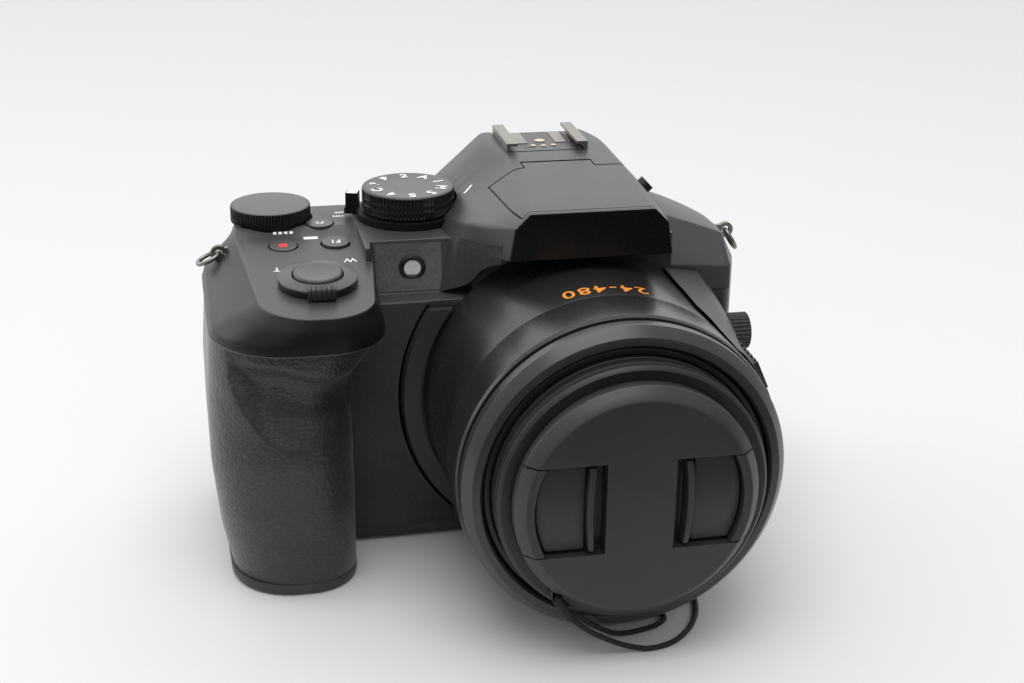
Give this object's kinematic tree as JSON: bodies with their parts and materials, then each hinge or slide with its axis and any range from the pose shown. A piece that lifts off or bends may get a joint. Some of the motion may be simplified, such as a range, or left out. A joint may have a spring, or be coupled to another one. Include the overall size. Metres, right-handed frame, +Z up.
{
  "type": "bridge camera",
  "caption": "Bridge camera with a moulded grip, zoom lens with a corded pinch cap, pop-up flash, accessory shoe, dials, buttons and a side-hinged monitor.",
  "frame": {"origin": "centre of the tripod socket's mouth, on the plane that the base stands on", "axes": "+X to the right seen from the front, +Y to the back, +Z up; the lens looks along -Y"},
  "size_m": [0.135, 0.1198, 0.0907],
  "materials": {
    "body": "fine grain",
    "satin": "satin",
    "grip": "leather grain",
    "gloss": "polished",
    "dial": "satin, knurled",
    "metal": "bare",
    "contact": "plated",
    "glass": "coated",
    "lamp": "translucent",
    "screen": "dark display glass",
    "diffuser": "prismatic",
    "cord": "braided",
    "cell": "wrapped",
    "frame_metal": "pressed",
    "board": "lacquered"
  },
  "bodies": {
    "camera_body": {"front_cover": "body", "rear_cover": "body", "top_cover": "body", "bottom_cover": "body", "viewfinder_housing": "body", "shoulder_cover": "body", "hump_panel": "gloss", "grip_rubber": "grip", "thumb_rest": "grip", "side_pod": "body", "lens_collar": "body", "lens_barrel": "satin", "lens_front_ring": "satin", "af_lamp": "lamp", "hot_shoe": "metal", "shoe_insert": "satin", "shoe_contacts": "contact", "strap_lugs": "metal", "eyecup": "grip", "eyepiece_lens": "glass", "battery": "cell", "tripod_bush": "metal", "chassis": "frame_metal", "main_board": "board"},
    "zoom_tube": {"zoom_tube": "satin"},
    "inner_tube": {"inner_tube": "satin", "front_retainer": "satin", "front_element": "glass", "iris_unit": "satin", "lens_carrier": "satin", "rear_element": "glass"},
    "lens_cap": {"cap_body": "satin", "cap_cord": "cord", "cap_cord_hitch": "cord"},
    "flash_head": {"flash_head": "body", "flash_window": "diffuser"},
    "monitor": {"monitor_frame": "body", "monitor_glass": "screen"},
    "cap_clip_left": {"cap_clip_left": "satin"},
    "cap_clip_right": {"cap_clip_right": "satin"},
    "shutter_button": {"shutter_button": "dial"},
    "zoom_lever": {"zoom_lever": "dial"},
    "movie_button": {"movie_button": "dial"},
    "fn1_button": {"fn1_button": "dial"},
    "fn2_button": {"fn2_button": "dial"},
    "mode_dial": {"mode_dial": "dial"},
    "power_lever": {"power_lever": "satin"},
    "rear_dial": {"rear_dial": "dial"},
    "flash_button": {"flash_button": "satin"},
    "strap_ring_left": {"strap_ring_left": "metal"},
    "strap_ring_right": {"strap_ring_right": "metal"},
    "diopter_dial": {"diopter_dial": "satin"},
    "cursor_pad": {"cursor_pad": "satin"},
    "set_button": {"set_button": "satin"},
    "play_button": {"play_button": "satin"},
    "lock_button": {"lock_button": "satin"},
    "side_dial": {"side_dial": "satin"},
    "side_lever": {"side_lever": "satin"},
    "terminal_door": {"terminal_door": "grip"},
    "battery_door": {"battery_door": "body"}
  },
  "joints": [
    {"name": "zoom_extend", "type": "slide", "parent": "camera_body", "child": "zoom_tube", "axis": [0, -1, 0], "range_m": [0, 0.026]},
    {"name": "inner_extend", "type": "slide", "parent": "zoom_tube", "child": "inner_tube", "axis": [0, -1, 0], "range_m": [0, 0.022]},
    {"name": "cap_pull", "type": "slide", "parent": "inner_tube", "child": "lens_cap", "axis": [0, -1, 0], "range_m": [0, 0.03]},
    {"name": "clip_left_pinch", "type": "slide", "parent": "lens_cap", "child": "cap_clip_left", "axis": [1, 0, 0], "range_m": [0, 0.0014], "stiffness_N_per_m": 800},
    {"name": "clip_right_pinch", "type": "slide", "parent": "lens_cap", "child": "cap_clip_right", "axis": [-1, 0, 0], "range_m": [0, 0.0014], "stiffness_N_per_m": 800},
    {"name": "shutter_press", "type": "slide", "parent": "camera_body", "child": "shutter_button", "axis": [0, 0.0748, -0.9972], "range_m": [0, 0.001], "stiffness_N_per_m": 400},
    {"name": "zoom_lever_turn", "type": "hinge", "parent": "camera_body", "child": "zoom_lever", "pos_m": [-0.0605, -0.025, 0.07027], "axis": [0, -0.0748, 0.9972], "range_deg": [-18, 18], "stiffness_Nm_per_rad": 0.05},
    {"name": "movie_press", "type": "slide", "parent": "camera_body", "child": "movie_button", "axis": [0, 0.0748, -0.9972], "range_m": [0, 0.0006], "stiffness_N_per_m": 400},
    {"name": "fn1_press", "type": "slide", "parent": "camera_body", "child": "fn1_button", "axis": [0, 0.0748, -0.9972], "range_m": [0, 0.0006], "stiffness_N_per_m": 400},
    {"name": "fn2_press", "type": "slide", "parent": "camera_body", "child": "fn2_button", "axis": [0, 0, -1], "range_m": [0, 0.0006], "stiffness_N_per_m": 400},
    {"name": "mode_dial_turn", "type": "hinge", "parent": "camera_body", "child": "mode_dial", "pos_m": [-0.0352, 0.008, 0.078], "axis": [0, 0, 1], "continuous": true},
    {"name": "power_lever_turn", "type": "hinge", "parent": "camera_body", "child": "power_lever", "pos_m": [-0.0352, 0.008, 0.075], "axis": [0, 0, 1], "range_deg": [0, 35]},
    {"name": "rear_dial_turn", "type": "hinge", "parent": "camera_body", "child": "rear_dial", "pos_m": [-0.0682, 0.0144, 0.075], "axis": [0, 0, 1], "continuous": true},
    {"name": "flash_open", "type": "hinge", "parent": "camera_body", "child": "flash_head", "pos_m": [0, 0.0015, 0.0864], "axis": [-1, 0, 0], "range_deg": [0, 50]},
    {"name": "flash_button_press", "type": "slide", "parent": "camera_body", "child": "flash_button", "axis": [-0.7345, 0, -0.6786], "range_m": [0, 0.0006], "stiffness_N_per_m": 400},
    {"name": "ring_left_swing", "type": "hinge", "parent": "camera_body", "child": "strap_ring_left", "pos_m": [-0.0814, 0.006, 0.0681], "axis": [0, 1, 0], "range_deg": [0, 70]},
    {"name": "ring_right_swing", "type": "hinge", "parent": "camera_body", "child": "strap_ring_right", "pos_m": [0.0456, 0.006, 0.0674], "axis": [0, -1, 0], "range_deg": [0, 105]},
    {"name": "monitor_open", "type": "hinge", "parent": "camera_body", "child": "monitor", "pos_m": [0.042, 0.0273, 0.0315], "axis": [0, 0, -1], "range_deg": [0, 175]},
    {"name": "diopter_turn", "type": "hinge", "parent": "camera_body", "child": "diopter_dial", "pos_m": [0.0196, 0.032, 0.0715], "axis": [0, 1, 0], "range_deg": [-120, 120]},
    {"name": "cursor_pad_press", "type": "slide", "parent": "camera_body", "child": "cursor_pad", "axis": [0, -1, 0], "range_m": [0, 0.0006], "stiffness_N_per_m": 400},
    {"name": "set_press", "type": "slide", "parent": "camera_body", "child": "set_button", "axis": [0, -1, 0], "range_m": [0, 0.0006], "stiffness_N_per_m": 400},
    {"name": "play_press", "type": "slide", "parent": "camera_body", "child": "play_button", "axis": [0, -1, 0], "range_m": [0, 0.0006], "stiffness_N_per_m": 400},
    {"name": "lock_press", "type": "slide", "parent": "camera_body", "child": "lock_button", "axis": [0, -1, 0], "range_m": [0, 0.0006], "stiffness_N_per_m": 400},
    {"name": "side_dial_turn", "type": "hinge", "parent": "camera_body", "child": "side_dial", "pos_m": [0.04, -0.0234, 0.0516], "axis": [1, 0, 0], "continuous": true},
    {"name": "side_lever_slide", "type": "slide", "parent": "camera_body", "child": "side_lever", "axis": [0, -1, 0], "range_m": [-0.002, 0.002], "stiffness_N_per_m": 300},
    {"name": "terminal_door_open", "type": "hinge", "parent": "camera_body", "child": "terminal_door", "pos_m": [0.0454, 0.014, 0.023], "axis": [0, 0, 1], "range_deg": [0, 90]},
    {"name": "battery_door_open", "type": "hinge", "parent": "camera_body", "child": "battery_door", "pos_m": [-0.0575, -0.016, 0.0012], "axis": [0, -1, 0], "range_deg": [0, 95]}
  ],
  "couplings": [
    {"joint": "inner_extend", "follows": "zoom_extend", "ratio": 0.8}
  ]
}
